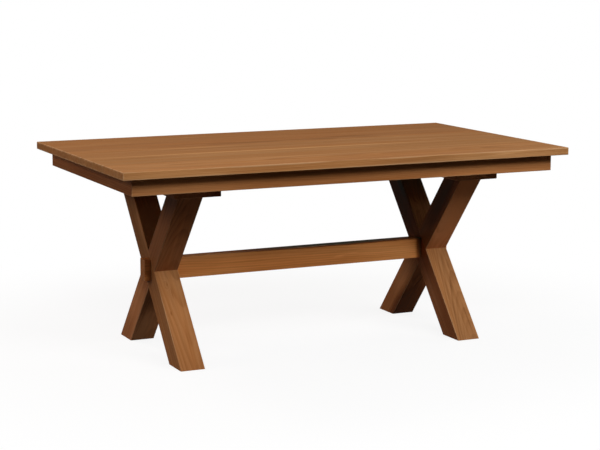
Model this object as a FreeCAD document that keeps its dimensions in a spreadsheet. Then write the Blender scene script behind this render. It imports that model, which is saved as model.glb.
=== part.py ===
import FreeCAD, Part
import math
import os

import Sketcher
from FreeCAD import Placement, Rotation, Vector

# Sawbuck dining table: a five-board top in an apron frame on two half-lapped X trestles,
# which one long stretcher joins. Millimetres. +X runs along the table, +Y to its back and
# +Z up. The origin is on the floor, under the middle of the top.

SIZES = {
    # top
    "table_height": 762,
    "top_length": 1800,
    "top_thickness": 28.5,
    "board_width": 204,
    "top_edge_round": 2.5,
    "board_joint_ease": 0.5,
    # apron frame under the top
    "apron_inset": 48,
    "apron_height": 63,
    "apron_thickness": 22,
    "apron_edge_round": 2,
    "corner_block_side": 60,
    "corner_block_nose": 22,
    "corner_block_drop": 6,
    "corner_block_rise": 11,
    "corner_screw_edge": 15,
    # cross bearers between the long rails
    "bearer_width": 70,
    "bearer_edge_round": 2,
    # mounting plates that join the trestles to the bearers
    "plate_width": 180,
    "plate_thickness": 40.5,
    "plate_overhang": 4,
    "plate_shift": 26.5,
    "plate_edge_round": 2,
    # trestles
    "trestle_inset": 320,
    "leg_thickness": 95,
    "leg_width": 93,
    "leg_lean": 40,
    "lap_height": 321,
    "leg_edge_round": 3,
    # stretcher and its through tenons
    "stretcher_thickness": 48,
    "stretcher_edge_round": 2,
    "lap_wall": 2,
    "mortise_clearance": 0.15,
    "tenon_reach": 24,
    "peg_diameter": 12,
    "peg_in_stretcher": 16,
    "peg_to_surface": 6,
    # room round each shank, peg and insert, and round each sunk head
    "hole_clearance": 0.2,
    "head_clearance": 1,
    # wood screws
    "wood_screw_diameter": 4.5,
    "wood_screw_head": 9,
    "wood_screw_crown": 5,
    "wood_screw_head_height": 2.6,
    "wood_screw_drive": 3,
    "wood_screw_drive_depth": 1.6,
    "bearer_screw_length": 45,
    "bearer_screw_bite": 18,
    "block_screw_length": 34,
    "block_screw_bite": 14,
    "clip_screw_length": 16,
    # coach screws, plate to legs
    "coach_screw_diameter": 8,
    "coach_screw_head": 13,
    "coach_screw_head_height": 5.5,
    "coach_screw_bite": 48,
    "coach_screw_counterbore": 9,
    "coach_screw_pitch": 46,
    # bolts, plate to bearer
    "bolt_diameter": 8,
    "bolt_head": 13,
    "bolt_head_height": 5.3,
    "bolt_hole_clearance": 0.8,
    "bolt_inner_offset": 46,
    "bolt_from_leg": 60,
    "bolt_bite": 24,
    "washer_diameter": 20,
    "washer_thickness": 1.6,
    "insert_diameter": 12,
    "insert_length": 20,
    "insert_hole_depth": 26,
    # clips that hold the apron to the top
    "clip_thickness": 1.5,
    "clip_width": 18,
    "clip_tongue": 8,
    "clip_step": 11,
    "clip_flange": 22,
    "clip_stand_off": 0.5,
    "clip_groove_depth": 9,
    "clip_groove_height": 3,
    "long_clip_offset": 290,
    "long_clip_from_corner": 95,
    "end_clip_offset": 200,
}

BOARD_NAMES = (
    "front_edge_board",
    "front_inner_board",
    "centre_board",
    "back_inner_board",
    "back_edge_board",
)

doc = FreeCAD.newDocument("sawbuck_table")
sheet = doc.addObject("Spreadsheet::Sheet", "Sizes")
for row, (alias, number) in enumerate(SIZES.items(), start=1):
    sheet.set(f"A{row}", alias)
    sheet.set(f"B{row}", str(number))
    sheet.setAlias(f"B{row}", alias)
doc.recompute()


# ------------------------------------------------- lengths that follow from the sizes

LEAN = "(Sizes.leg_lean * 1 deg)"
TOP_WIDTH = f"({len(BOARD_NAMES)} * Sizes.board_width)"
TOP_UNDERSIDE = "(Sizes.table_height - Sizes.top_thickness)"
APRON_UNDERSIDE = f"({TOP_UNDERSIDE} - Sizes.apron_height)"
LEG_TOP = f"({APRON_UNDERSIDE} - Sizes.plate_thickness)"
LONG_RAIL_LENGTH = "(Sizes.top_length - 2 * Sizes.apron_inset)"
END_RAIL_LENGTH = f"({TOP_WIDTH} - 2 * Sizes.apron_inset)"
INNER_LENGTH = f"({LONG_RAIL_LENGTH} - 2 * Sizes.apron_thickness)"
INNER_WIDTH = f"({END_RAIL_LENGTH} - 2 * Sizes.apron_thickness)"
TRESTLE_X = "(Sizes.top_length / 2 - Sizes.trestle_inset)"

# half the level cut across a leg, and where a leg's axis meets the floor and its top
LEG_HALF_CUT = f"(Sizes.leg_width / 2 / cos({LEAN}))"
FOOT_Y = f"(Sizes.lap_height * tan({LEAN}))"
LEG_TOP_Y = f"(({LEG_TOP} - Sizes.lap_height) * tan({LEAN}))"
PLATE_LENGTH = f"(2 * ({LEG_TOP_Y} + {LEG_HALF_CUT} + Sizes.plate_overhang))"

# the stretcher is as tall as the lap it passes through allows
TENON_ROOM = "(Sizes.leg_width / 2 - Sizes.lap_wall)"
STRETCHER_HEIGHT = (
    f"(2 * ({TENON_ROOM} - Sizes.stretcher_thickness / 2 * cos({LEAN})) / sin({LEAN}))"
)
STRETCHER_LENGTH = f"(2 * {TRESTLE_X} + Sizes.leg_thickness + 2 * Sizes.tenon_reach)"
PEG_END_Y = f"({LEG_HALF_CUT} - Sizes.peg_to_surface)"
PEG_LENGTH = f"({PEG_END_Y} - Sizes.stretcher_thickness / 2 + Sizes.peg_in_stretcher)"

BLOCK_HEIGHT = "(Sizes.apron_height - Sizes.corner_block_drop - Sizes.corner_block_rise)"
BLOCK_Z = f"({APRON_UNDERSIDE} + Sizes.corner_block_rise)"
BLOCK_SCREW_IN = "(Sizes.corner_block_side - Sizes.corner_screw_edge)"
BLOCK_SEAT = "(Sizes.block_screw_length - Sizes.block_screw_bite)"
BEARER_SEAT = "(Sizes.apron_height + Sizes.bearer_screw_bite - Sizes.bearer_screw_length)"
CLIP_SCREW_IN = "(Sizes.clip_stand_off + Sizes.clip_thickness + Sizes.clip_flange / 2)"
WOOD_SCREW_HOLE = "(Sizes.wood_screw_diameter + Sizes.hole_clearance)"
WOOD_SCREW_ROOM = "(Sizes.wood_screw_head + Sizes.head_clearance)"
COACH_SCREW_HOLE = "(Sizes.coach_screw_diameter + Sizes.hole_clearance)"


# ------------------------------------------------- where things repeat

TRESTLES = {"left": f"(-{TRESTLE_X})", "right": TRESTLE_X}
BEARERS = {
    "left": f"(Sizes.plate_shift - {TRESTLE_X})",
    "middle": "0",
    "right": f"(Sizes.plate_shift + {TRESTLE_X})",
}
MIDDLE_BOARD = (len(BOARD_NAMES) - 1) / 2
BOARD_YS = [
    f"({step - MIDDLE_BOARD:g} * Sizes.board_width)" for step in range(len(BOARD_NAMES))
]

# legs by their foot: 1 where the foot is at the front, -1 where it is at the back
LEGS = {"front": 1, "back": -1}

# corners of the apron: side along x, side along y and the turn of the corner block
CORNERS = {
    "front_left": (-1, -1, 0),
    "front_right": (1, -1, 90),
    "back_right": (1, 1, 180),
    "back_left": (-1, 1, -90),
}


def both_sides(distance):
    return [f"(-{distance})", f"({distance})"]


BOLT_YS = [
    *both_sides("Sizes.bolt_inner_offset"),
    *both_sides(f"({LEG_TOP_Y} - {LEG_HALF_CUT} - Sizes.bolt_from_leg)"),
]
COACH_SCREW_SPOTS = [
    (x, y) for x in both_sides("Sizes.coach_screw_pitch / 2") for y in both_sides(LEG_TOP_Y)
]
LONG_CLIP_XS = [
    *both_sides("Sizes.long_clip_offset"),
    *both_sides(f"({INNER_LENGTH} / 2 - Sizes.long_clip_from_corner)"),
]
END_CLIP_YS = both_sides("Sizes.end_clip_offset")


def rotated(turn, x, y):
    """A point turned about the z axis by a whole number of right angles, in degrees."""
    cosine = round(math.cos(math.radians(turn)))
    sine = round(math.sin(math.radians(turn)))
    return f"({cosine} * {x} - {sine} * {y})", f"({sine} * {x} + {cosine} * {y})"


def clip_spots(inwards="0"):
    """Plan position and turn of each clip, or of a point some way in from its rail."""
    spots = []
    for turn, reach in ((0, INNER_WIDTH), (180, INNER_WIDTH)):
        spots += [(*rotated(turn, x, f"({inwards} - {reach} / 2)"), turn) for x in LONG_CLIP_XS]
    for turn, reach in ((90, INNER_LENGTH), (-90, INNER_LENGTH)):
        spots += [(*rotated(turn, y, f"({inwards} - {reach} / 2)"), turn) for y in END_CLIP_YS]
    return spots


def corner_spot(corner, x="0", y="0"):
    """Plan position of a point given from the apron's inner corner."""
    x_side, y_side, turn = CORNERS[corner]
    turned_x, turned_y = rotated(turn, x, y)
    return (
        f"({x_side} * {INNER_LENGTH} / 2 + {turned_x})",
        f"({y_side} * {INNER_WIDTH} / 2 + {turned_y})",
    )


# ------------------------------------------------- building blocks

X_AXIS = Vector(1, 0, 0)
Y_AXIS = Vector(0, 1, 0)
Z_AXIS = Vector(0, 0, 1)
NO_TURN = Rotation()
UPSIDE_DOWN = Rotation(X_AXIS, 180)
NEAR = 1e-4

pieces = []


def value(expression):
    """What an expression comes to, in millimetres."""
    result = sheet.evalExpression(str(expression))
    return float(getattr(result, "Value", result))


def near(first, second):
    return abs(first - second) < NEAR


def about_z(degrees):
    return Rotation(Z_AXIS, degrees)


def place(feature, x="0", y="0", z="0", rotation=NO_TURN):
    """Turns a feature and binds its position."""
    feature.Placement = Placement(Vector(), rotation)
    feature.setExpression("Placement.Base.x", x)
    feature.setExpression("Placement.Base.y", y)
    feature.setExpression("Placement.Base.z", z)
    return feature


def piece(feature):
    """Lists a finished piece of the table. Its label names its file."""
    pieces.append(feature)
    return feature


def new_body(label):
    body = doc.addObject("PartDesign::Body", label)
    body.Label = label
    return body


def new_sketch(body, name, role="XY_Plane", offset="0"):
    """A sketch on one of the body's origin planes, moved along that plane's normal.
    The normal of XY_Plane is +Z, of YZ_Plane +X and of XZ_Plane -Y."""
    planes = [feature for feature in body.Origin.OriginFeatures if feature.Role == role]
    sketch = body.newObject("Sketcher::SketchObject", f"{body.Name}_{name}")
    sketch.AttachmentSupport = [(planes[0], "")]
    sketch.MapMode = "FlatFace"
    sketch.setExpression("AttachmentOffset.Base.z", offset)
    return sketch


def constrain(sketch, expression, kind, *targets):
    """Adds one constraint of a given size and binds it to its expression."""
    index = sketch.addConstraint(Sketcher.Constraint(kind, *targets, value(expression)))
    sketch.setExpression(f"Constraints[{index}]", expression)


def pin(sketch, geometry, point, x, y):
    """Ties a point of a sketch to the sketch's origin."""
    constrain(sketch, x, "DistanceX", -1, 1, geometry, point)
    constrain(sketch, y, "DistanceY", -1, 1, geometry, point)


def outline(sketch, corners):
    """A closed outline of straight lines through corners given as expressions."""
    points = [Vector(value(x), value(y), 0) for x, y in corners]
    for start, end in zip(points, points[1:] + points[:1]):
        sketch.addGeometry(Part.LineSegment(start, end), False)
    for index, (x, y) in enumerate(corners):
        following = (index + 1) % len(corners)
        sketch.addConstraint(Sketcher.Constraint("Coincident", index, 2, following, 1))
        pin(sketch, index, 1, x, y)


def rectangle(sketch, width, height, x="0", y="0"):
    """A rectangle of the given size about the point x, y."""
    left, right = f"({x} - {width} / 2)", f"({x} + {width} / 2)"
    low, high = f"({y} - {height} / 2)", f"({y} + {height} / 2)"
    outline(sketch, [(left, low), (right, low), (right, high), (left, high)])


def hexagon(sketch, across):
    """A hexagon about the origin, with its flats the given width apart."""
    reach = f"({across} / sqrt(3))"
    angles = [f"{60 * step} deg" for step in range(6)]
    outline(sketch, [(f"({reach} * cos({a}))", f"({reach} * sin({a}))") for a in angles])


def circles(sketch, centres, diameter):
    for x, y in centres:
        centre = Vector(value(x), value(y), 0)
        circle = sketch.addGeometry(Part.Circle(centre, Z_AXIS, value(diameter) / 2), False)
        pin(sketch, circle, 3, x, y)
        constrain(sketch, diameter, "Diameter", circle)


def pad(sketch, length, symmetric=False, backwards=False):
    """Raises a sketch along its plane's normal, against it, or half to each side."""
    body = sketch.getParentGeoFeatureGroup()
    feature = body.newObject("PartDesign::Pad", f"{sketch.Name}_pad")
    feature.Profile = sketch
    feature.SideType = "Symmetric" if symmetric else "One side"
    feature.Reversed = backwards
    feature.setExpression("Length", length)


def pocket(sketch, depth=None, symmetric=False, forwards=False):
    """Cuts a sketch into its body: to a depth, or right through where none is given.
    It cuts against the plane's normal, along it (forwards), or to both sides."""
    body = sketch.getParentGeoFeatureGroup()
    doc.recompute()
    volume = body.Shape.Volume
    feature = body.newObject("PartDesign::Pocket", f"{sketch.Name}_pocket")
    feature.Profile = sketch
    feature.SideType = "Symmetric" if symmetric else "One side"
    feature.Reversed = forwards
    if depth is None:
        feature.Type = "ThroughAll"
    else:
        feature.setExpression("Length", depth)
    doc.recompute()
    if body.Shape.Volume >= volume:
        raise RuntimeError(f"{sketch.Name} cuts nothing")


def ease(body, kind, size, wanted):
    """Rounds (Fillet) or bevels (Chamfer) the edges of a body for which wanted holds."""
    doc.recompute()
    base = body.Tip
    edges = enumerate(base.Shape.Edges, start=1)
    names = [f"Edge{number}" for number, edge in edges if wanted(edge)]
    if not names:
        raise RuntimeError(f"{body.Label} has no edge to ease")
    feature = body.newObject(f"PartDesign::{kind}", f"{base.Name}_{kind.lower()}")
    feature.Base = (base, names)
    feature.setExpression("Radius" if kind == "Fillet" else "Size", size)


def heading(edge):
    """Unit direction of a straight edge, and no direction for a curved one."""
    span = edge.Vertexes[-1].Point - edge.Vertexes[0].Point
    is_straight = span.Length > NEAR and near(span.Length, edge.Length)
    return span.normalize() if is_straight else Vector()


def runs_along(edge, axis):
    along = heading(edge)
    return along.Length > 0 and along.cross(axis).Length < NEAR


def cylinder(name, diameter, length, x="0", y="0", z="0", rotation=NO_TURN):
    """A round bar that starts at x, y, z and runs along its own turned z axis."""
    bar = doc.addObject("Part::Cylinder", name)
    bar.setExpression("Radius", f"{diameter} / 2")
    bar.setExpression("Height", length)
    return place(bar, x, y, z, rotation)


def combine(kind, name, shapes):
    """One solid from several: kind is MultiFuse or MultiCommon."""
    feature = doc.addObject(f"Part::{kind}", name)
    feature.Shapes = shapes
    return feature


def cut(name, base, tool):
    feature = doc.addObject("Part::Cut", name)
    feature.Base = base
    feature.Tool = tool
    return feature


def group(name, members):
    """Several loose solids of one kind as one piece."""
    compound = doc.addObject("Part::Compound", name)
    compound.Links = members
    return piece(compound)


def copies(name, master, spots):
    """A group of copies of one fixing at spots given as x, y, z and a rotation."""
    members = []
    for number, spot in enumerate(spots, start=1):
        link = doc.addObject("App::Link", f"{name}_{number}")
        link.LinkedObject = master
        members.append(place(link, *spot))
    return group(name, members)


# ------------------------------------------------- top


def top_board(name, y):
    """One lengthwise board, with the fixings' holes drilled up from its underside."""
    body = new_body(name)
    board = new_sketch(body, "outline")
    rectangle(board, "Sizes.top_length", "Sizes.board_width")
    pad(board, "Sizes.top_thickness")

    half_length = value("Sizes.top_length / 2")
    half_width = value("Sizes.board_width / 2")
    screws = [(x, f"({screw_y} - {y})") for x, screw_y, _ in clip_spots(CLIP_SCREW_IN)]
    holes = {
        "bearer_holes": ([(x, "0") for x in BEARERS.values()], "Sizes.bearer_screw_bite"),
        "clip_holes": (
            [(x, screw_y) for x, screw_y in screws if abs(value(screw_y)) < half_width],
            "(Sizes.clip_screw_length - Sizes.clip_thickness)",
        ),
    }
    for purpose, (spots, bite) in holes.items():
        if spots:
            sketch = new_sketch(body, purpose)
            circles(sketch, spots, WOOD_SCREW_HOLE)
            pocket(sketch, f"{bite} + Sizes.hole_clearance", forwards=True)

    # the outer long side of the two edge boards is on the table's perimeter
    outer_side = {BOARD_NAMES[0]: -half_width, BOARD_NAMES[-1]: half_width}.get(name)

    def is_on_outer_side(edge):
        return outer_side is not None and near(edge.CenterOfMass.y, outer_side)

    def is_perimeter(edge):
        if runs_along(edge, Y_AXIS):
            return near(abs(edge.CenterOfMass.x), half_length)
        return heading(edge).Length > 0 and is_on_outer_side(edge)

    def is_joint(edge):
        on_side = near(abs(edge.CenterOfMass.y), half_width) and not is_on_outer_side(edge)
        return runs_along(edge, X_AXIS) and on_side and edge.CenterOfMass.z > NEAR

    ease(body, "Fillet", "Sizes.top_edge_round", is_perimeter)
    ease(body, "Chamfer", "Sizes.board_joint_ease", is_joint)
    piece(place(body, y=y, z=TOP_UNDERSIDE))


# ------------------------------------------------- apron


def apron_rail(name, length, x, y, turn):
    """A rail mitred at both ends. Its outer face is at its own y 0."""
    body = new_body(name)
    plan = new_sketch(body, "outline")
    outer, inner = f"({length} / 2)", f"({length} / 2 - Sizes.apron_thickness)"
    thickness = "Sizes.apron_thickness"
    outline(
        plan,
        [(f"(-{outer})", "0"), (outer, "0"), (inner, thickness), (f"(-{inner})", thickness)],
    )
    pad(plan, "Sizes.apron_height")

    groove = new_sketch(body, "clip_groove", "YZ_Plane")
    rectangle(
        groove,
        "Sizes.clip_groove_depth",
        "Sizes.clip_groove_height",
        "Sizes.apron_thickness - Sizes.clip_groove_depth / 2",
        "Sizes.apron_height - Sizes.clip_step - Sizes.clip_groove_height / 2",
    )
    pocket(groove, symmetric=True)

    holes = new_sketch(body, "block_screw_holes", "XZ_Plane", "-Sizes.apron_thickness")
    height = f"(Sizes.corner_block_rise + {BLOCK_HEIGHT} / 2)"
    circles(
        holes,
        [(side, height) for side in both_sides(f"({inner} - {BLOCK_SCREW_IN})")],
        WOOD_SCREW_HOLE,
    )
    pocket(holes, "Sizes.block_screw_bite + Sizes.hole_clearance", forwards=True)

    def is_lower_outer(edge):
        middle = edge.CenterOfMass
        return runs_along(edge, X_AXIS) and near(middle.y, 0) and near(middle.z, 0)

    ease(body, "Fillet", "Sizes.apron_edge_round", is_lower_outer)
    piece(place(body, x, y, APRON_UNDERSIDE, about_z(turn)))


def corner_block(corner):
    """A five-sided block in a corner of the apron, with a hole for a screw into each rail."""
    body = new_body(f"{corner}_corner_block")
    plan = new_sketch(body, "outline")
    side, nose = "Sizes.corner_block_side", "Sizes.corner_block_nose"
    outline(plan, [("0", "0"), (side, "0"), (side, nose), (nose, side), ("0", side)])
    pad(plan, BLOCK_HEIGHT)

    spot = [(BLOCK_SCREW_IN, f"({BLOCK_HEIGHT} / 2)")]
    for role, inwards in (("XZ_Plane", -1), ("YZ_Plane", 1)):
        hole = new_sketch(body, f"{role}_hole", role)
        circles(hole, spot, WOOD_SCREW_HOLE)
        pocket(hole, symmetric=True)
        seat = new_sketch(body, f"{role}_seat", role, f"{inwards} * {BLOCK_SEAT}")
        circles(seat, spot, WOOD_SCREW_ROOM)
        pocket(seat, forwards=inwards > 0)
    piece(place(body, *corner_spot(corner), BLOCK_Z, about_z(CORNERS[corner][-1])))


# ------------------------------------------------- cross bearers


def cross_bearer(side, x):
    """Lies across the top's boards from rail to rail. The outer two take the trestles."""
    body = new_body(f"{side}_cross_bearer")
    plan = new_sketch(body, "outline")
    rectangle(plan, "Sizes.bearer_width", INNER_WIDTH)
    pad(plan, "Sizes.apron_height")

    def is_lower_long(edge):
        return runs_along(edge, Y_AXIS) and near(edge.CenterOfMass.z, 0)

    ease(body, "Fillet", "Sizes.bearer_edge_round", is_lower_long)

    spots = [("0", y) for y in BOARD_YS]
    holes = new_sketch(body, "screw_holes")
    circles(holes, spots, WOOD_SCREW_HOLE)
    pocket(holes, forwards=True)
    seats = new_sketch(body, "screw_seats")
    circles(seats, spots, WOOD_SCREW_ROOM)
    pocket(seats, BEARER_SEAT, forwards=True)

    if side in TRESTLES:
        inserts = new_sketch(body, "insert_holes")
        fit = "(Sizes.insert_diameter + Sizes.hole_clearance)"
        circles(inserts, [("0", y) for y in BOLT_YS], fit)
        pocket(inserts, "Sizes.insert_hole_depth", forwards=True)
    piece(place(body, x=x, z=APRON_UNDERSIDE))


# ------------------------------------------------- mounting plates


def mounting_plate(side, x):
    """A thick plank across the tops of one trestle's legs, set off towards +X."""
    body = new_body(f"{side}_mounting_plate")
    plan = new_sketch(body, "outline")
    rectangle(plan, "Sizes.plate_width", PLATE_LENGTH, "Sizes.plate_shift")
    pad(plan, "Sizes.plate_thickness")
    ease(body, "Fillet", "Sizes.plate_edge_round", lambda edge: True)

    bolts = new_sketch(body, "bolt_holes")
    bolt_hole = "(Sizes.bolt_diameter + Sizes.bolt_hole_clearance)"
    circles(bolts, [("Sizes.plate_shift", y) for y in BOLT_YS], bolt_hole)
    pocket(bolts, forwards=True)
    holes = new_sketch(body, "coach_screw_holes")
    circles(holes, COACH_SCREW_SPOTS, COACH_SCREW_HOLE)
    pocket(holes, forwards=True)
    seats = new_sketch(body, "coach_screw_seats", offset="Sizes.plate_thickness")
    across_corners = "(Sizes.coach_screw_head * 2 / sqrt(3) + Sizes.head_clearance)"
    circles(seats, COACH_SCREW_SPOTS, across_corners)
    pocket(seats, "Sizes.coach_screw_counterbore")
    piece(place(body, x=x, z=LEG_TOP))


# ------------------------------------------------- trestles and stretcher


def leg_side(sketch, lean):
    """Side view of one leg, both ends cut level. A lean of 1 puts its foot at the front."""
    foot, top = f"({-lean} * {FOOT_Y})", f"({lean} * {LEG_TOP_Y})"
    outline(
        sketch,
        [
            (f"({foot} - {LEG_HALF_CUT})", "0"),
            (f"({foot} + {LEG_HALF_CUT})", "0"),
            (f"({top} + {LEG_HALF_CUT})", LEG_TOP),
            (f"({top} - {LEG_HALF_CUT})", LEG_TOP),
        ],
    )


def leg_bar(name, lean, **pad_options):
    """A leg before it is lapped, or half of it to one side of the trestle's middle."""
    body = new_body(name)
    side = new_sketch(body, "side", "YZ_Plane")
    leg_side(side, lean)
    pad(side, "Sizes.leg_thickness", **pad_options)
    return body


def crossed_bars():
    """Both bars of a trestle as one X with rounded arrises. Where the bars cross, the
    faces stay flat, so the lap closes flush."""
    body = new_body("crossed_bars")
    for foot, lean in LEGS.items():
        side = new_sketch(body, f"{foot}_side", "YZ_Plane")
        leg_side(side, lean)
        pad(side, "Sizes.leg_thickness", symmetric=True)

    def is_arris(edge):
        lengthwise = abs(heading(edge).z) > NEAR
        return lengthwise and near(abs(edge.CenterOfMass.x), value("Sizes.leg_thickness / 2"))

    ease(body, "Fillet", "Sizes.leg_edge_round", is_arris)
    return body


def stretcher_bar(label, clearance="0"):
    """A bar of the stretcher's section, or the larger one that cuts its mortises."""
    body = new_body(label)
    section = new_sketch(body, "section", "YZ_Plane")
    rectangle(
        section,
        f"(Sizes.stretcher_thickness + 2 * {clearance})",
        f"({STRETCHER_HEIGHT} + 2 * {clearance})",
    )
    pad(section, STRETCHER_LENGTH, symmetric=True)
    round_size = f"Sizes.stretcher_edge_round + {clearance}"
    ease(body, "Fillet", round_size, lambda edge: True)
    return place(body, z="Sizes.lap_height")


def trestle_legs():
    """The four legs. The pair is worked out once, about the middle of a trestle: the leg
    with its foot at the front keeps the -X half of the lap and the other the +X half."""
    crossed = crossed_bars()
    mortise = stretcher_bar("mortise", "Sizes.mortise_clearance")
    # the peg's hole opens into the notch behind the lap
    peg_hole = cylinder(
        "peg_hole",
        "(Sizes.peg_diameter + Sizes.hole_clearance)",
        f"({LEG_HALF_CUT} - Sizes.stretcher_thickness / 2)",
        y=LEG_HALF_CUT,
        z="Sizes.lap_height",
        rotation=Rotation(X_AXIS, 90),
    )
    pilots = [
        cylinder(
            f"coach_screw_pilot_{number}",
            COACH_SCREW_HOLE,
            "Sizes.coach_screw_bite + Sizes.hole_clearance",
            x,
            y,
            LEG_TOP,
            UPSIDE_DOWN,
        )
        for number, (x, y) in enumerate(COACH_SCREW_SPOTS, start=1)
    ]
    for foot, lean in LEGS.items():
        whole = leg_bar(f"{foot}_bar", lean, symmetric=True)
        # the lap: the other bar's half on the side that this leg gives up
        lap = leg_bar(f"{foot}_lap", -lean, backwards=lean < 0)
        share = combine("MultiCommon", f"{foot}_share", [crossed, whole])
        tools = combine("MultiFuse", f"{foot}_tools", [lap, mortise, peg_hole, *pilots])
        for side, x in TRESTLES.items():
            piece(place(cut(f"{side}_{foot}_leg", share, tools), x=x))


def stretcher():
    """Runs through both trestles, with a blind hole from the back for each peg."""
    body = stretcher_bar("stretcher")
    holes = new_sketch(body, "peg_holes", "XZ_Plane", "-Sizes.stretcher_thickness / 2")
    fit = "(Sizes.peg_diameter + Sizes.hole_clearance)"
    circles(holes, [(x, "0") for x in TRESTLES.values()], fit)
    pocket(holes, "Sizes.peg_in_stretcher + Sizes.hole_clearance", forwards=True)
    piece(body)


def stretcher_pegs():
    """A round wooden peg from the back of each lap into the stretcher."""
    pegs = [
        cylinder(
            f"{side}_peg",
            "Sizes.peg_diameter",
            PEG_LENGTH,
            x,
            PEG_END_Y,
            "Sizes.lap_height",
            Rotation(X_AXIS, 90),
        )
        for side, x in TRESTLES.items()
    ]
    group("stretcher_pegs", pegs)


# ------------------------------------------------- fixings


def wood_screw(name, length):
    """A pan-headed wood screw that points along -Z, with its head on the plane z 0."""
    body = new_body(name)
    profile = new_sketch(body, "profile", "XZ_Plane")
    shank = "(Sizes.wood_screw_diameter / 2)"
    outline(
        profile,
        [
            ("0", f"(-{length})"),
            (shank, f"(Sizes.wood_screw_diameter - {length})"),
            (shank, "0"),
            ("(Sizes.wood_screw_head / 2)", "0"),
            ("(Sizes.wood_screw_crown / 2)", "Sizes.wood_screw_head_height"),
            ("0", "Sizes.wood_screw_head_height"),
        ],
    )
    turned = body.newObject("PartDesign::Revolution", f"{name}_turned")
    turned.Profile = profile
    turned.ReferenceAxis = (profile, ["V_Axis"])
    turned.Angle = 360
    drive = new_sketch(body, "drive", offset="Sizes.wood_screw_head_height")
    rectangle(drive, "Sizes.wood_screw_drive", "Sizes.wood_screw_drive")
    pocket(drive, "Sizes.wood_screw_drive_depth")
    return body


def hexagon_screw(name, kind, length):
    """A coach screw or bolt that points along -Z, with its head on the plane z 0."""
    body = new_body(name)
    head = new_sketch(body, "head")
    hexagon(head, f"Sizes.{kind}_head")
    pad(head, f"Sizes.{kind}_head_height")
    shank = new_sketch(body, "shank")
    circles(shank, [("0", "0")], f"Sizes.{kind}_diameter")
    pad(shank, length, backwards=True)
    return body


def ring(name, outer, inner, height):
    """A washer or threaded insert that stands on the plane z 0."""
    body = new_body(name)
    section = new_sketch(body, "section")
    circles(section, [("0", "0")], outer)
    circles(section, [("0", "0")], inner)
    pad(section, height)
    return body


def clip():
    """A Z of sheet steel: its tongue is in the rail's groove and its flange is screwed to
    the top. The rail's inner face is at its own y 0 and the top's underside at z 0."""
    body = new_body("clip")
    profile = new_sketch(body, "profile", "YZ_Plane")
    tongue = "(-Sizes.clip_tongue)"
    web_front = "(Sizes.clip_stand_off + Sizes.clip_thickness)"
    flange_end = f"({web_front} + Sizes.clip_flange)"
    outline(
        profile,
        [
            (tongue, "(-Sizes.clip_step - Sizes.clip_thickness)"),
            (web_front, "(-Sizes.clip_step - Sizes.clip_thickness)"),
            (web_front, "(-Sizes.clip_thickness)"),
            (flange_end, "(-Sizes.clip_thickness)"),
            (flange_end, "0"),
            ("Sizes.clip_stand_off", "0"),
            ("Sizes.clip_stand_off", "(-Sizes.clip_step)"),
            (tongue, "(-Sizes.clip_step)"),
        ],
    )
    pad(profile, "Sizes.clip_width", symmetric=True)
    hole = new_sketch(body, "screw_hole")
    circles(hole, [("0", CLIP_SCREW_IN)], WOOD_SCREW_HOLE)
    pocket(hole)
    return body


def top_fixings():
    """The screws in the bearers and the clips with their screws round the apron."""
    bearer_screw = wood_screw("bearer_screw", "Sizes.bearer_screw_length")
    seat = f"({APRON_UNDERSIDE} + {BEARER_SEAT})"
    spots = [(x, y, seat, UPSIDE_DOWN) for x in BEARERS.values() for y in BOARD_YS]
    copies("bearer_screws", bearer_screw, spots)

    spots = [(x, y, TOP_UNDERSIDE, about_z(turn)) for x, y, turn in clip_spots()]
    copies("apron_clips", clip(), spots)

    clip_screw = wood_screw("clip_screw", "Sizes.clip_screw_length")
    seat = f"({TOP_UNDERSIDE} - Sizes.clip_thickness)"
    spots = [(x, y, seat, UPSIDE_DOWN) for x, y, _ in clip_spots(CLIP_SCREW_IN)]
    copies("apron_clip_screws", clip_screw, spots)


def corner_fixings():
    """Two screws in each corner block, one into each rail."""
    block_screw = wood_screw("block_screw", "Sizes.block_screw_length")
    height = f"({BLOCK_Z} + {BLOCK_HEIGHT} / 2)"
    into_rails = (
        (BLOCK_SCREW_IN, BLOCK_SEAT, Rotation(X_AXIS, -90)),
        (BLOCK_SEAT, BLOCK_SCREW_IN, Rotation(Y_AXIS, 90)),
    )
    spots = [
        (*corner_spot(corner, x, y), height, about_z(CORNERS[corner][-1]) * pointing)
        for corner in CORNERS
        for x, y, pointing in into_rails
    ]
    copies("corner_block_screws", block_screw, spots)


def trestle_fixings():
    """Coach screws from the plates into the legs, and bolts from the plates into
    threaded inserts in the bearers, so that the trestles come off."""
    below_head = "(Sizes.plate_thickness - Sizes.coach_screw_counterbore)"
    coach_screw = hexagon_screw(
        "coach_screw", "coach_screw", f"{below_head} + Sizes.coach_screw_bite"
    )
    seat = f"({LEG_TOP} + {below_head})"
    spots = [
        (f"({trestle} + {x})", y, seat, NO_TURN)
        for trestle in TRESTLES.values()
        for x, y in COACH_SCREW_SPOTS
    ]
    copies("plate_to_leg_screws", coach_screw, spots)

    bolt_length = "Sizes.washer_thickness + Sizes.plate_thickness + Sizes.bolt_bite"
    bolt = hexagon_screw("bolt", "bolt", bolt_length)
    washer_hole = "(Sizes.bolt_diameter + Sizes.hole_clearance)"
    washer = ring("washer", "Sizes.washer_diameter", washer_hole, "Sizes.washer_thickness")
    insert = ring("insert", "Sizes.insert_diameter", washer_hole, "Sizes.insert_length")
    bolted = [(BEARERS[side], y) for side in TRESTLES for y in BOLT_YS]
    under_washer = f"({LEG_TOP} - Sizes.washer_thickness)"
    copies("plate_bolts", bolt, [(x, y, under_washer, UPSIDE_DOWN) for x, y in bolted])
    copies("plate_bolt_washers", washer, [(x, y, under_washer) for x, y in bolted])
    copies("threaded_inserts", insert, [(x, y, APRON_UNDERSIDE) for x, y in bolted])


# ------------------------------------------------- the table

for board_name, board_y in zip(BOARD_NAMES, BOARD_YS):
    top_board(board_name, board_y)

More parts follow.
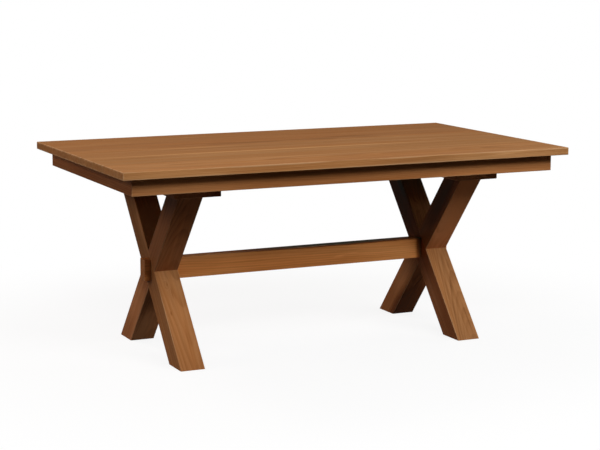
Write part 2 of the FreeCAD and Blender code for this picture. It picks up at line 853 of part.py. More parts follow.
apron_rail("front_apron_rail", LONG_RAIL_LENGTH, "0", f"-{END_RAIL_LENGTH} / 2", 0)
apron_rail("back_apron_rail", LONG_RAIL_LENGTH, "0", f"{END_RAIL_LENGTH} / 2", 180)
apron_rail("left_apron_rail", END_RAIL_LENGTH, f"-{LONG_RAIL_LENGTH} / 2", "0", -90)
apron_rail("right_apron_rail", END_RAIL_LENGTH, f"{LONG_RAIL_LENGTH} / 2", "0", 90)

for corner_name in CORNERS:
    corner_block(corner_name)
for bearer_side, bearer_x in BEARERS.items():
    cross_bearer(bearer_side, bearer_x)
for plate_side, plate_x in TRESTLES.items():
    mounting_plate(plate_side, plate_x)

trestle_legs()
stretcher()
stretcher_pegs()
top_fixings()
corner_fixings()
trestle_fixings()


# ------------------------------------------------- check and write

doc.recompute()
failed = [made.Name for made in doc.Objects if {"Invalid", "Error"} & set(made.State)]
if failed:
    raise RuntimeError(f"these failed: {failed}")
for made in pieces:
    if made.Shape.isNull() or not made.Shape.isValid():
        raise RuntimeError(f"{made.Label} has no valid shape")

os.makedirs("parts", exist_ok=True)
for made in pieces:
    made.Shape.exportStep(f"parts/{made.Label}.step")
    print(made.Label, len(made.Shape.Solids), round(made.Shape.Volume))
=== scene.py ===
import math

import bpy
from mathutils import Matrix, Vector


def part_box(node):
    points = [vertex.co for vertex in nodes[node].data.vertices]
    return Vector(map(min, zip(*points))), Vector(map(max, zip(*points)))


# The sawbuck table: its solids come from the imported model, in metres, and this script gives
# them solid-wood and metal finishes, a floor, studio lamps and a camera.

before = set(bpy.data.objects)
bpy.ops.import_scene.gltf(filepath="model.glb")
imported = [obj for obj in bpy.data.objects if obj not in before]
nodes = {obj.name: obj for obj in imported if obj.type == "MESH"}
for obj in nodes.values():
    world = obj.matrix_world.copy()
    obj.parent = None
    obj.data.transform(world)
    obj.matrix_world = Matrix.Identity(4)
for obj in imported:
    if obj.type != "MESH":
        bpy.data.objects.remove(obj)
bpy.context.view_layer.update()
scene = bpy.context.scene

X = Vector((1, 0, 0))
Y = Vector((0, 1, 0))
Z = Vector((0, 0, 1))


# ------------------------------------------------- shader nodes


class Nodes:
    """Adds nodes to one tree. An input is a socket to link or a plain value to set."""

    def __init__(self, tree):
        self.tree = tree

    def add(self, kind, inputs=(), **settings):
        node = self.tree.nodes.new(f"ShaderNode{kind}")
        for name, setting in settings.items():
            setattr(node, name, setting)
        for name, feed in dict(inputs).items():
            if isinstance(feed, bpy.types.NodeSocket):
                self.tree.links.new(feed, node.inputs[name])
            else:
                node.inputs[name].default_value = feed
        return node

    def maths(self, operation, *feeds):
        return self.add("Math", dict(enumerate(feeds)), operation=operation).outputs[0]

    def vector(self, operation, *feeds):
        node = self.add("VectorMath", dict(enumerate(feeds)), operation=operation)
        return node.outputs["Value" if operation == "LENGTH" else "Vector"]

    def parts(self, vector):
        """The x, y and z of a vector."""
        return self.add("SeparateXYZ", {0: vector}).outputs[:3]

    def noise(self, place, stretch, seed, detail=2.0, roughness=0.5):
        """Noise from 0 to 1 with its own scale along each axis, per metre."""
        inputs = {
            "Vector": self.vector("MULTIPLY", place, stretch),
            "W": seed,
            "Scale": 1.0,
            "Detail": detail,
            "Roughness": roughness,
        }
        return self.add("TexNoise", inputs, noise_dimensions="4D").outputs

    def step(self, value, low, high, start=0.0, end=1.0):
        """Goes smoothly from start to end as value goes from low to high."""
        inputs = {0: value, 1: low, 2: high, 3: start, 4: end}
        return self.add("MapRange", inputs, interpolation_type="SMOOTHSTEP").outputs[0]

    def ramp(self, value, stops):
        """A colour for each value, straight between stops of (value, colour)."""
        node = self.add("ValToRGB", {0: value})
        elements = node.color_ramp.elements
        while len(elements) < len(stops):
            elements.new(1.0)
        for element, (position, colour) in zip(elements, stops):
            element.position = position
            element.color = (*colour, 1.0)
        return node.outputs[0]


# ------------------------------------------------- solid wood

# Stained hardwood in linear light. A piece's shade says which it shows: -1 for painted shade,
# nearly black, 0 for late wood and pores, 0.5 for the body and 1 for the palest early wood.
PAINTED_SHADE_BLACK = (0.040, 0.036, 0.022)
DEEP = (0.150, 0.050, 0.014)
BODY = (0.335, 0.138, 0.048)
PALE = (0.500, 0.232, 0.092)
USUAL_SHADE = 0.56

# arrises rubbed paler by hands, partly a painted highlight along them, and how much of that
# shows where they are rubbed most
WORN_AND_HIGHLIT = (0.560, 0.330, 0.170)
RUBBED_AND_HIGHLIT_MOST = 0.55

# where the stain took redder and where it took browner
REDDER = (1.03, 0.98, 0.92)
BROWNER = (0.98, 1.02, 1.07)

# a year's ring, how far the grain sways to a side, and how a knot bends the rings round it
RING_SPACING = 0.0042
GRAIN_SWAY = 0.022
KNOT_BEND = 0.007
KNOT_REACH = 2.5


def solid_wood():
    """Node group for wood with its grain along its own x axis. Growth rings lie round a
    heart line, so a flat face shows long arches and an end shows arcs."""
    tree = bpy.data.node_groups.new("solid wood", "ShaderNodeTree")
    sockets = tree.interface
    vectors = ("Place", "Grain", "Facing", "Low", "High", "Heart", "Lean")
    for name in (*vectors, "Tint", "End tint", "Face tint"):
        sockets.new_socket(name, in_out="INPUT", socket_type="NodeSocketVector")
    for name in ("Seed", "Marks and painted light", "Swirl", "Wear and highlight width"):
        sockets.new_socket(name, in_out="INPUT", socket_type="NodeSocketFloat")
    sockets.new_socket("Colour", in_out="OUTPUT", socket_type="NodeSocketColor")
    for name in ("Roughness", "Height"):
        sockets.new_socket(name, in_out="OUTPUT", socket_type="NodeSocketFloat")

    n = Nodes(tree)
    given = tree.nodes.new("NodeGroupInput").outputs
    place, grain, seed = given["Place"], given["Grain"], given["Seed"]

    # growth rings: slow pale early wood, then a short dark line of late wood
    along = n.parts(grain)[0]
    heart_line = n.vector("MULTIPLY_ADD", along, given["Lean"], given["Heart"])
    from_heart = n.vector("SUBTRACT", n.vector("MULTIPLY", grain, (0, 1, 1)), heart_line)
    radius = n.maths("ADD", n.vector("LENGTH", from_heart), given["Swirl"])
    by_radius = n.add("CombineXYZ", {0: radius}).outputs[0]
    seasons = n.noise(by_radius, (55.0, 1.0, 1.0), seed, detail=2.0)[0]
    years = n.maths("MULTIPLY_ADD", seasons, 2.4, n.maths("DIVIDE", radius, RING_SPACING))
    year = n.maths("FRACT", years)
    late = n.maths("MULTIPLY", n.step(year, 0.25, 0.88), n.step(year, 0.9, 1.0, 1.0, 0.0))
    strong = n.step(n.noise(by_radius, (130.0, 1.0, 1.0), seed, detail=1.0)[0], 0.3, 0.75)
    late = n.maths("MULTIPLY", late, n.maths("MULTIPLY_ADD", strong, 0.75, 0.25))

    # broad bands, long streaks, fine fibres and pores as short dashes
    bands = n.noise(grain, (0.8, 13.0, 13.0), seed, detail=2.0)[0]
    streaks = n.noise(grain, (2.2, 85.0, 85.0), seed, detail=3.0, roughness=0.6)[0]
    fibres = n.noise(grain, (13.0, 620.0, 620.0), seed, detail=2.0)[0]
    dashes = n.vector("MULTIPLY", grain, (48.0, 900.0, 900.0))
    pores = n.add("TexVoronoi", {"Vector": dashes, "Scale": 1.0}).outputs["Distance"]
    pores = n.step(pores, 0.10, 0.30, 1.0, 0.0)
    pores = n.maths("MULTIPLY", pores, n.step(streaks, 0.35, 0.7, 0.25, 1.0))

    # thin pale lines where one stretched noise passes its middle, in a few places only
    crossing = n.noise(grain, (1.1, 34.0, 34.0), seed, detail=1.0)[0]
    crossing = n.maths("ABSOLUTE", n.maths("SUBTRACT", crossing, 0.5))
    few = n.step(n.noise(grain, (1.6, 9.0, 9.0), seed, detail=1.0)[0], 0.5, 0.62)
    lines = n.maths("MULTIPLY", n.step(crossing, 0.004, 0.02, 1.0, 0.0), few)

    shade = n.maths("MULTIPLY_ADD", late, -0.26, USUAL_SHADE)
    for part, weight, middle in (
        (streaks, 0.70, 0.5),
        (fibres, 0.22, 0.5),
        (bands, 0.24, 0.5),
        (pores, -0.14, 0.15),
        (lines, 0.16, 0.1),
        (given["Marks and painted light"], 1.0, 0.0),
    ):
        centred = n.maths("SUBTRACT", part, middle)
        shade = n.maths("MULTIPLY_ADD", centred, weight, shade)

    # the ramp runs from 0 to 1, and the shade from -1 to 1; below 0 it darkens into painted
    # shade
    on_ramp = n.maths("MULTIPLY_ADD", shade, 0.5, 0.5)
    colour = n.ramp(on_ramp, [(0.0, PAINTED_SHADE_BLACK), (0.5, DEEP), (0.75, BODY), (1.0, PALE)])

    # the stain's hue drifts a little along and across the grain
    drift = n.noise(grain, (1.3, 21.0, 21.0), seed, detail=2.0)[0]
    drift = n.step(drift, 0.3, 0.7)
    change = tuple(brown - red for red, brown in zip(REDDER, BROWNER))
    hue = n.vector("MULTIPLY_ADD", drift, change, REDDER)
    colour = n.vector("MULTIPLY", colour, n.vector("MULTIPLY", hue, given["Tint"]))

    # arrises rubbed paler, partly a painted highlight: the distance to the nearest edge is the
    # middle one of three
    reach = n.vector(
        "MINIMUM",
        n.vector("SUBTRACT", place, given["Low"]),
        n.vector("SUBTRACT", given["High"], place),
    )
    a, b, c = n.parts(reach)
    to_edge = n.maths("MINIMUM", n.maths("MAXIMUM", a, b), c)
    to_edge = n.maths("MAXIMUM", n.maths("MINIMUM", a, b), to_edge)
    patchy = n.noise(place, (3.2, 60.0, 60.0), seed, detail=2.0)[0]
    width = n.maths("MULTIPLY", n.step(patchy, 0.3, 0.7, 0.55, 1.35), given["Wear and highlight width"])
    wear = n.step(n.maths("DIVIDE", to_edge, width), 0.45, 1.0, 1.0, 0.0)
    wear = n.maths("MULTIPLY", wear, n.step(patchy, 0.34, 0.56, 0.25, 1.0))
    rubbed_and_highlit = n.maths("MULTIPLY", wear, RUBBED_AND_HIGHLIT_MOST)
    colour = n.vector("MULTIPLY_ADD", n.vector("SUBTRACT", WORN_AND_HIGHLIT, colour), rubbed_and_highlit, colour)

    # ends drink more stain, and the two main faces take their own tint, partly painted light on
    # them
    along_grain, _, along_face = n.parts(n.vector("ABSOLUTE", given["Facing"]))
    end_grain = n.step(along_grain, 0.70, 0.95)
    main_face = n.step(along_face, 0.70, 0.95)
    for share, tint in ((end_grain, "End tint"), (main_face, "Face tint")):
        change = n.vector("SUBTRACT", given[tint], (1, 1, 1))
        change = n.vector("MULTIPLY_ADD", share, change, (1, 1, 1))
        colour = n.vector("MULTIPLY", colour, change)

    roughness = n.maths("MULTIPLY_ADD", fibres, 0.10, 0.43)
    for part, weight in ((pores, 0.12), (end_grain, 0.14), (late, -0.05), (wear, -0.04)):
        roughness = n.maths("MULTIPLY_ADD", part, weight, roughness)
    height = n.maths("MULTIPLY_ADD", late, 0.30, n.maths("MULTIPLY", fibres, 0.45))
    height = n.maths("MULTIPLY_ADD", pores, -0.80, height)

    result = tree.nodes.new("NodeGroupOutput")
    tree.links.new(colour, result.inputs["Colour"])
    tree.links.new(roughness, result.inputs["Roughness"])
    tree.links.new(height, result.inputs["Height"])
    return tree


WOOD = solid_wood()


def new_material(name):
    material = bpy.data.materials.new(name)
    material.use_nodes = True
    material.node_tree.nodes.clear()
    return material, Nodes(material.node_tree)


def finish_with(material, n, shader):
    output = n.add("OutputMaterial")
    material.node_tree.links.new(shader, output.inputs["Surface"])
    return material


def soft_spots(n, grain, spots):
    """Adds up what each spot, (centre, half size, amount), gives at a place in the grain. A
    spot is whole within a fifth of its half size and fades to nothing at its edge."""
    total = 0.0
    for centre, half_size, amount in spots:
        offset = n.vector("DIVIDE", n.vector("SUBTRACT", grain, centre), half_size)
        total = n.maths("ADD", n.step(n.vector("LENGTH", offset), 0.2, 1.0, amount, 0.0), total)
    return total


def wood_material(name, centre, grain, face, edges, growth):
    """Satin stained wood turned so that its grain runs along grain and its widest face
    looks along face. Edges are the two corners, in the wood's own axes, of where it wears and
    takes a painted highlight."""
    turn = Matrix((grain, face.cross(grain), face)).transposed().to_euler()
    material, n = new_material(name)
    texture = n.add("TexCoord")
    mapping = {"Vector": texture.outputs["Object"], "Location": centre, "Rotation": turn}
    place = n.add("Mapping", mapping, vector_type="TEXTURE").outputs[0]
    facing = n.add(
        "VectorRotate",
        {"Vector": texture.outputs["Normal"], "Rotation": turn},
        rotation_type="EULER_XYZ",
        invert=True,
    ).outputs[0]

    # the trunk wasn't straight, so whatever follows the grain sways a little
    sway = n.noise(place, (1.5, 5.0, 5.0), growth["seed"], detail=1.5)["Color"]
    sway = n.vector("SUBTRACT", sway, (0.5, 0.5, 0.5))
    swayed = n.vector("MULTIPLY_ADD", sway, (0.0, GRAIN_SWAY, GRAIN_SWAY), place)
    marks, knots = growth.get("marks", ()), growth.get("knots", ())
    bends = []
    for knot, half_size, _ in knots:
        bends.append((knot, [KNOT_REACH * size for size in half_size], KNOT_BEND))

    feeds = {
        "Place": place,
        "Grain": swayed,
        "Facing": facing,
        "Low": edges[0],
        "High": edges[1],
        "Heart": growth["heart"],
        "Lean": growth["lean"],
        "Tint": growth.get("tint", (1.0, 1.0, 1.0)),
        "End tint": growth.get("end_tint", (0.86, 0.86, 0.86)),
        "Face tint": growth.get("face_tint", (1.0, 1.0, 1.0)),
        "Seed": growth["seed"],
        "Marks and painted light": soft_spots(n, swayed, [*marks, *knots]),
        "Swirl": soft_spots(n, swayed, bends),
        "Wear and highlight width": growth.get("wear_width", 0.0026),
    }
    wood = n.add("Group", feeds, node_tree=WOOD).outputs
    relief = {"Height": wood["Height"], "Strength": 0.5, "Distance": 0.00025}
    shader = n.add(
        "BsdfPrincipled",
        {
            "Base Color": wood["Colour"],
            "Roughness": wood["Roughness"],
            "Normal": n.add("Bump", relief).outputs[0],
            "Specular IOR Level": 0.0,
            "Coat Weight": 0.055,
            "Coat Roughness": 0.38,
        },
    )
    return finish_with(material, n, shader.outputs[0])


# ------------------------------------------------- which way each piece of wood grew


def dress(name, grain, face, growth, edges=None, centre=None):
    """Gives a node its own wood. Edges, two corners in the frame, are where it wears and takes
    a painted highlight.
    """
    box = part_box(name)
    low, high = edges or box
    centre = centre or (box[0] + box[1]) / 2
    turn = Matrix((grain, face.cross(grain), face))
    corners = [turn @ (corner - centre) for corner in (low, high)]
    lowest = [min(pair) for pair in zip(*corners)]
    highest = [max(pair) for pair in zip(*corners)]
    material = wood_material(f"{name} wood", centre, grain, face, (lowest, highest), growth)
    node = nodes[name]
    node.data.materials.clear()
    node.data.materials.append(material)


def grew(heart, lean, seed, **features):
    """How a piece grew. Heart and lean give the heart line's place across and through the
    piece and how far it drifts per length. Spots, some of grain figure and many of painted
    light and shade, and knots are (centre, half size, shade) along, across and through it."""
    return {"heart": (0.0, *heart), "lean": (0.0, *lean), "seed": seed, **features}


# two boards meet at a pale line, sapwood and also a painted highlight along the joint, with a
# browner strip in front of it
SAP_AND_HIGHLIGHT_LENGTH, SAP_AND_HIGHLIGHT_WIDTH = 1.05, 0.018
# the top's arrises get a wider paler band, a painted highlight along them as well as wear
TOP_FINISH = {"end_tint": (0.98, 0.98, 0.98), "wear_width": 0.0058}
TOP_BOARDS = {
    "front_edge_board": grew(
        (0.030, -0.150),
        (0.0, 0.018),
        1.3,
        tint=(1.08, 1.18, 1.18),
        marks=[
            ((-0.68, -0.106, 0.0), (0.30, 0.016, 1.0), 0.20),
            ((0.22, -0.106, 0.0), (0.24, 0.016, 1.0), -0.10),
            ((0.70, -0.106, 0.0), (0.22, 0.016, 1.0), 0.14),
        ],
        **TOP_FINISH,
    ),
    "front_inner_board": grew(
        (-0.190, -0.110),
        (0.0, -0.012),
        4.1,
        tint=(1.01, 1.12, 1.11),
        marks=[
            ((-0.15, 0.102, 0.0), (SAP_AND_HIGHLIGHT_LENGTH, SAP_AND_HIGHLIGHT_WIDTH, 1.0), 0.48),
            ((-0.72, 0.046, 0.0), (0.32, 0.030, 1.0), -0.14),
            ((0.42, 0.040, 0.0), (0.40, 0.028, 1.0), -0.14),
        ],
        **TOP_FINISH,
    ),
    "centre_board": grew(
        (0.150, -0.170),
        (0.0, 0.010),
        7.7,
        tint=(0.99, 1.09, 1.09),
        marks=[
            ((-0.15, -0.102, 0.0), (SAP_AND_HIGHLIGHT_LENGTH, SAP_AND_HIGHLIGHT_WIDTH, 1.0), 0.50),
            ((-0.40, 0.065, 0.0), (0.26, 0.014, 1.0), 0.30),
        ],
        **TOP_FINISH,
    ),
    "back_inner_board": grew(
        (-0.060, -0.130),
        (0.0, -0.016),
        11.2,
        tint=(0.97, 1.03, 1.01),
        marks=[
            ((0.30, -0.016, 0.0), (0.17, 0.022, 1.0), -0.20),
            ((-0.35, -0.030, 0.0), (0.40, 0.026, 1.0), -0.05),
            ((0.0, -0.050, 0.0), (1.40, 0.060, 1.0), -0.06),
        ],
        **TOP_FINISH,
    ),
    "back_edge_board": grew(
        (0.120, -0.200), (0.0, 0.014), 15.9, tint=(0.92, 0.96, 0.90), **TOP_FINISH
    ),
}
TOP_EDGES = (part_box("front_edge_board")[0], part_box("back_edge_board")[1])
for board, growth in TOP_BOARDS.items():
    dress(board, X, Z, growth, edges=TOP_EDGES)

# the front rail is paler near its ends, and the left one near its back
RAIL_TINT = (0.98, 0.93, 0.88)
APRON_RAILS = {
    "front": grew(
        (0.140, -0.120),
        (0.0, 0.010),
        21.0,
        tint=(0.98, 0.92, 0.84),
        marks=[
            ((-0.66, 0.0, 0.0), (0.34, 1.0, 1.0), 0.30),
            ((0.60, -0.0315, 0.0), (0.50, 0.05, 1.0), 0.20),
        ],
    ),
    "back": grew((-0.120, -0.140), (0.0, -0.012), 23.5, tint=RAIL_TINT),
    "left": grew(
        (0.110, -0.120),
        (0.0, 0.014),
        26.1,
        tint=(1.00, 0.87, 0.78),
        marks=[((0.36, 0.0, 0.0), (0.26, 1.0, 1.0), 0.16)],
    ),
    "right": grew((-0.130, -0.110), (0.0, -0.010), 28.4, tint=RAIL_TINT),
}
RAIL_FACES = {"front": -Y, "back": Y, "left": -X, "right": X}
for side, face in RAIL_FACES.items():
    # the rails' upper arrises are against the top, so they don't wear
    low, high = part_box(f"{side}_apron_rail")
    grain = X if side in ("front", "back") else Y
    dress(f"{side}_apron_rail", grain, face, APRON_RAILS[side], edges=(low, high + Z))

for number, block in enumerate(("front_left", "front_right", "back_right", "back_left")):
    dress(f"{block}_corner_block", Z, Y, grew((0.090, -0.060), (0.0, 0.020), 31.0 + number))
for number, bearer in enumerate(("left", "middle", "right")):
    dress(f"{bearer}_cross_bearer", Y, Z, grew((0.050, -0.120), (0.0, 0.012), 41.3 + number))

# both plates are darker at the right of their front ends, painted shade under the apron
PLATE_END = {
    "end_tint": (1.14, 1.10, 1.22),
    "marks": [((-0.324, -0.095, 0.0), (0.060, 0.078, 0.060), -0.44)],
}
PLATES = {
    "left": grew((0.060, 0.140), (0.0, 0.016), 51.6, tint=(1.05, 0.90, 0.83), **PLATE_END),
    "right": grew((-0.070, 0.150), (0.0, -0.014), 54.2, tint=(1.26, 1.22, 1.20), **PLATE_END),
}
for side, growth in PLATES.items():
    dress(f"{side}_mounting_plate", Y, Z, growth)

# each leg's front is where its across axis ends, and its left side where through begins
LEG_LEAN = math.radians(40)
LEG_HALF_WIDTH, LEG_HALF_THICKNESS = 0.0465, 0.0475
ON_FRONT, ON_LEFT = LEG_HALF_WIDTH, -LEG_HALF_THICKNESS
# a spot centred here paints shade on the left side and leaves the front as it is
PAST_LEFT = 1.25 * ON_LEFT
# many of the legs' spots and their tints and face tints are painted light and shade, for how
# light falls on each face under the top; the knots and thin dark streaks are grain
LEG_WOODS = {
    "left_front_leg": grew(
        (-0.100, 0.030),
        (0.030, 0.020),
        61.0,
        tint=(1.03, 1.02, 0.98),
        knots=[((-0.098, ON_FRONT, -0.014), (0.014, 0.02, 0.006), -0.28)],
        marks=[
            # painted light on the front just below the lap
            ((-0.03, ON_FRONT, 0.01), (0.12, 0.03, 0.10), 0.24),
            ((-0.20, ON_FRONT, 0.02), (0.32, 0.04, 0.10), 0.10),
            ((-0.137, ON_FRONT, -0.003), (0.032, 0.02, 0.0040), -0.26),
            ((-0.220, ON_FRONT, -0.028), (0.014, 0.02, 0.0045), -0.30),
            ((-0.365, ON_FRONT, 0.008), (0.120, 0.02, 0.0045), -0.18),
            # painted light on the upper arm's front under the top, then painted shade higher up
            ((0.16, ON_FRONT, 0.0), (0.17, 0.04, 0.14), 0.80),
            ((0.37, ON_FRONT, 0.0), (0.12, 0.03, 0.12), -0.40),
        ],
    ),
    "left_back_leg": grew(
        (-0.090, 0.020),
        (-0.045, -0.018),
        64.7,
        tint=(1.03, 0.91, 0.90),
        face_tint=(1.04, 1.10, 1.16),
        marks=[
            ((-0.26, ON_FRONT, -0.015), (0.08, 0.02, 0.015), 0.20),
            # painted light on the foot's front and left side and on the upper arm's front;
            # painted shade on the upper arm's left side and high on its front
            ((-0.33, ON_FRONT, 0.0), (0.20, 0.04, 0.10), 0.44),
            ((-0.19, -0.01, ON_LEFT), (0.17, 0.07, 0.04), 0.34),
            ((0.36, -0.01, ON_LEFT), (0.22, 0.07, 0.04), -0.24),
            ((0.12, ON_FRONT, 0.0), (0.14, 0.04, 0.10), 0.16),
            ((0.32, ON_FRONT, 0.0), (0.18, 0.04, 0.10), -0.14),
        ],
    ),
    "right_front_leg": grew(
        (-0.070, 0.030),
        (-0.050, 0.012),
        67.9,
        tint=(0.98, 1.03, 1.05),
        face_tint=(1.06, 0.83, 0.82),
        knots=[((0.156, ON_FRONT, -0.008), (0.020, 0.02, 0.010), 0.10)],
        marks=[
            # painted light on the foot's left side, and painted shade, nearly black, on the
            # arms' left side and on the upper arm's front
            ((-0.19, -0.01, ON_LEFT), (0.17, 0.07, 0.03), 0.28),
            ((0.26, 0.0, PAST_LEFT), (0.34, 0.10, 0.028), -1.80),
            ((0.32, ON_FRONT, 0.0), (0.19, 0.05, 0.14), -0.98),
            ((-0.120, ON_FRONT, 0.029), (0.044, 0.02, 0.0080), -0.24),
            ((-0.370, ON_FRONT, 0.031), (0.100, 0.02, 0.0040), -0.24),
        ],
    ),
    "right_back_leg": grew(
        (-0.100, -0.030),
        (0.040, 0.016),
        70.3,
        # the paler tint is painted light for the upper arm's front, which the face tint and the
        # foot's darker spot take back there
        tint=(1.30, 1.06, 0.98),
        face_tint=(0.83, 0.95, 1.03),
        marks=[
            # painted light on the upper arm's front, painted shade on the foot's front, painted
            # light on the foot's left side and painted shade, nearly black, on the arms' left
            # side
            ((0.29, ON_FRONT, 0.01), (0.36, 0.05, 0.11), 0.76),
            ((-0.34, ON_FRONT, 0.0), (0.26, 0.05, 0.12), -0.78),
            ((-0.17, -0.01, ON_LEFT), (0.17, 0.07, 0.03), 0.42),
            ((0.31, 0.0, PAST_LEFT), (0.34, 0.10, 0.026), -1.70),
        ],
    ),
}
LAP_HEIGHT = sum(corner.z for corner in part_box("stretcher")) / 2
for leg, growth in LEG_WOODS.items():
    leans_back = 1 if "front" in leg else -1
    grain = Vector((0, leans_back * math.sin(LEG_LEAN), math.cos(LEG_LEAN)))
    low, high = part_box(leg)
    lap = Vector(((low.x + high.x) / 2, 0, LAP_HEIGHT))
    half = (X * (high.x - low.x) / 2) + X.cross(grain) * LEG_HALF_WIDTH + grain
    dress(leg, grain, X, growth, edges=(lap - half, lap + half), centre=lap)

# the stretcher's paler tint is painted light that the lamps don't bring under the top, and
# painted shade darkens its upper face and where it enters the right lap
STRETCHER_GROWTH = grew(
    (0.080, -0.130),
    (0.0, 0.012),
    81.0,
    tint=(1.84, 1.63, 1.30),
    end_tint=(0.69, 0.75, 0.98),
    wear_width=0.0016,
    marks=[
        # painted shade on the upper face
        ((0.0, 0.0506, 0.0), (9.0, 0.017, 1.0), -2.00),
        # painted light on the upper part of the front, against the top's shadow
        ((0.0, 0.022, 0.0), (1.4, 0.050, 1.0), 0.14),
        # paler towards both ends of the front
        ((-0.40, 0.0, 0.024), (0.26, 0.2, 0.1), 0.16),
        ((0.40, 0.0, 0.024), (0.26, 0.2, 0.1), 0.16),
        # painted shade on the tenon's front, which the leg hides from the lamps
        ((-0.63, -0.03, 0.040), (0.060, 0.050, 0.030), -0.52),
        # painted shadow of the right lap's legs where the stretcher enters it
        ((0.538, 0.015, 0.024), (0.040, 0.140, 0.030), -1.35),
    ],
)
low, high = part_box("stretcher")
dress("stretcher", X, -Y, STRETCHER_GROWTH, edges=(low - X, high + X))
dress("stretcher_pegs", Y, Z, grew((0.060, -0.080), (0.0, 0.0), 84.0, tint=(1.15, 1.15, 1.15)))


# ------------------------------------------------- metal


def metal_material(name, dull, bright, roughness, seed):
    """Plated or turned metal with faint clouding and fine scratches."""
    material, n = new_material(name)
    place = n.add("TexCoord").outputs["Object"]
    clouds = n.noise(place, (60.0, 60.0, 60.0), seed, detail=3.0)[0]
    scratches = n.noise(place, (90.0, 2600.0, 2600.0), seed, detail=2.0)[0]
    relief = {"Height": scratches, "Strength": 0.3, "Distance": 0.00005}
    shader = n.add(
        "BsdfPrincipled",
        {
            "Base Color": n.ramp(clouds, [(0.3, dull), (0.7, bright)]),
            "Metallic": 1.0,
            "Roughness": n.step(clouds, 0.2, 0.8, roughness - 0.07, roughness + 0.08),
            "Normal": n.add("Bump", relief).outputs[0],
        },
    )
    return finish_with(material, n, shader.outputs[0])


ZINC = metal_material("zinc plate", (0.42, 0.43, 0.44), (0.62, 0.63, 0.62), 0.34, 2.0)
BRASS = metal_material("turned brass", (0.56, 0.38, 0.16), (0.74, 0.54, 0.26), 0.28, 5.0)
for name, node in nodes.items():
    slot = node.data.materials[0].name
    if slot.startswith(("zinc_steel", "insert_brass")):
        node.data.materials.clear()
        node.data.materials.append(ZINC if slot.startswith("zinc") else BRASS)


# ------------------------------------------------- floor, backdrop and lamps

# the floor as it is seen, and the little light that it throws back on the table
FLOOR_RADIUS = 40
FLOOR_SEEN = (0.93, 0.93, 0.93, 1)
FLOOR_BOUNCE = (0.07, 0.066, 0.062, 1)
WHITE = (1, 1, 1, 1)


def seen_directly(n):
    """1 for a ray from the camera, a reflection or glass, and 0 for light that bounces."""
    path = n.add("LightPath").outputs
    seen = n.maths("MAXIMUM", path["Is Camera Ray"], path["Is Glossy Ray"])
    return n.maths("MAXIMUM", seen, path["Is Transmission Ray"])


def studio_floor():
    """A pale floor that keeps the table's shadow and turns into the white backdrop."""
    bpy.ops.mesh.primitive_circle_add(vertices=96, radius=FLOOR_RADIUS, fill_type="NGON")
    floor = bpy.context.object
    floor.name = "studio_floor"
    material, n = new_material("studio floor")
    distance = n.vector("LENGTH", n.add("TexCoord").outputs["Object"])
    pale = n.add("BsdfDiffuse", {"Color": FLOOR_SEEN}).outputs[0]
    dim = n.add("BsdfDiffuse", {"Color": FLOOR_BOUNCE}).outputs[0]
    white = n.add("Emission", {"Color": WHITE, "Strength": 1.0}).outputs[0]
    far = n.step(distance, 0.9, 2.0, 0.86, 1.0)
    looked_at = n.add("MixShader", {0: far, 1: pale, 2: white}).outputs[0]
    shader = n.add("MixShader", {0: seen_directly(n), 1: dim, 2: looked_at}).outputs[0]
    floor.data.materials.append(finish_with(material, n, shader))


def white_backdrop():
    """White where it is seen, and it lights nothing."""
    world = bpy.data.worlds.new("backdrop")
    world.use_nodes = True
    background = world.node_tree.nodes["Background"]
    background.inputs["Color"].default_value = WHITE
    strength = seen_directly(Nodes(world.node_tree))
    world.node_tree.links.new(strength, background.inputs["Strength"])
    scene.world = world


# the lamps look at the middle of the table, and those at the left are a little warmer
AIM = Vector((0.0, 0.0, 0.45))
WARMER = (1.0, 0.87, 0.81)


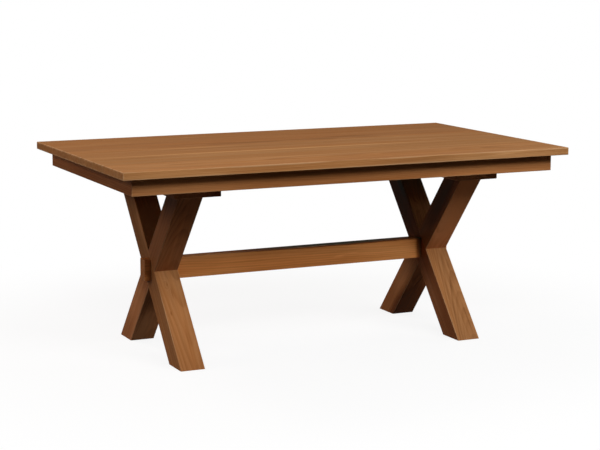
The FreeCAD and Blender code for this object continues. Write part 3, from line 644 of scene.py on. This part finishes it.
def softbox(
    name, azimuth, elevation, distance, width, height, level, shines=False, colour=(1, 1, 1)
):
    """A rectangular lamp. Azimuth 0 is in front and 90 to the right. A level of 1 lights a
    white surface that faces it, at the table, to plain white."""
    a, e = math.radians(azimuth), math.radians(elevation)
    towards = Vector((math.sin(a) * math.cos(e), -math.cos(a) * math.cos(e), math.sin(e)))
    lamp = bpy.data.lights.new(name, "AREA")
    lamp.shape = "RECTANGLE"
    lamp.size, lamp.size_y = width, height
    lamp.energy = level * math.pi**2 * distance**2
    lamp.color = colour
    stand = bpy.data.objects.new(name, lamp)
    stand.location = AIM + towards * distance
    stand.rotation_mode = "QUATERNION"
    stand.rotation_quaternion = towards.to_track_quat("Z", "Y")
    stand.visible_camera = False
    stand.visible_glossy = shines
    scene.collection.objects.link(stand)


studio_floor()
white_backdrop()
softbox("right_key", 20, 30.2, 4.6, 1.4, 0.8, 0.29, shines=True)
softbox("right_front", 40, 30, 4.6, 1.4, 0.8, 0.20, shines=True)
softbox("middle_key", 0, 41, 4.6, 1.4, 0.9, 0.15, shines=True)
softbox("left_key", -40, 41, 4.6, 1.4, 0.9, 0.28, shines=True)
softbox("left_low", -110, 24, 5.0, 2.2, 1.4, 0.18, colour=WARMER)
softbox("left_back", -140, 42, 5.0, 1.6, 1.4, 0.30, colour=WARMER)
softbox("right_side", 85, 9, 5.0, 2.0, 1.2, 0.22)
softbox("right_back", 130, 30, 5.0, 2.0, 2.0, 0.13)
softbox("back", 180, 30, 5.0, 2.0, 2.0, 0.12)


# ------------------------------------------------- camera

# where the camera stands, how it is turned, and its focal length in pixels of the picture
CAMERA_PLACE = (-2.74848, -5.83775, 1.50895)
FOCAL_LENGTH = 1673.577
PICTURE_WIDTH = 600
SENSOR_WIDTH = 36

yaw, pitch, roll = 0.440378, -0.163331, 0.002154
ahead = Vector(
    (math.sin(yaw) * math.cos(pitch), math.cos(yaw) * math.cos(pitch), math.sin(pitch))
)
level_right = Vector((math.cos(yaw), -math.sin(yaw), 0))
level_up = level_right.cross(ahead)
right = level_right * math.cos(roll) + level_up * math.sin(roll)
up = level_up * math.cos(roll) - level_right * math.sin(roll)

camera = bpy.data.cameras.new("camera")
camera.sensor_fit = "HORIZONTAL"
camera.sensor_width = SENSOR_WIDTH
camera.lens = FOCAL_LENGTH / PICTURE_WIDTH * SENSOR_WIDTH
stand = bpy.data.objects.new("camera", camera)
stand.matrix_world = Matrix((right, up, -ahead)).transposed().to_4x4()
stand.location = CAMERA_PLACE
scene.collection.objects.link(stand)
scene.camera = stand
scene.view_settings.view_transform = "Standard"
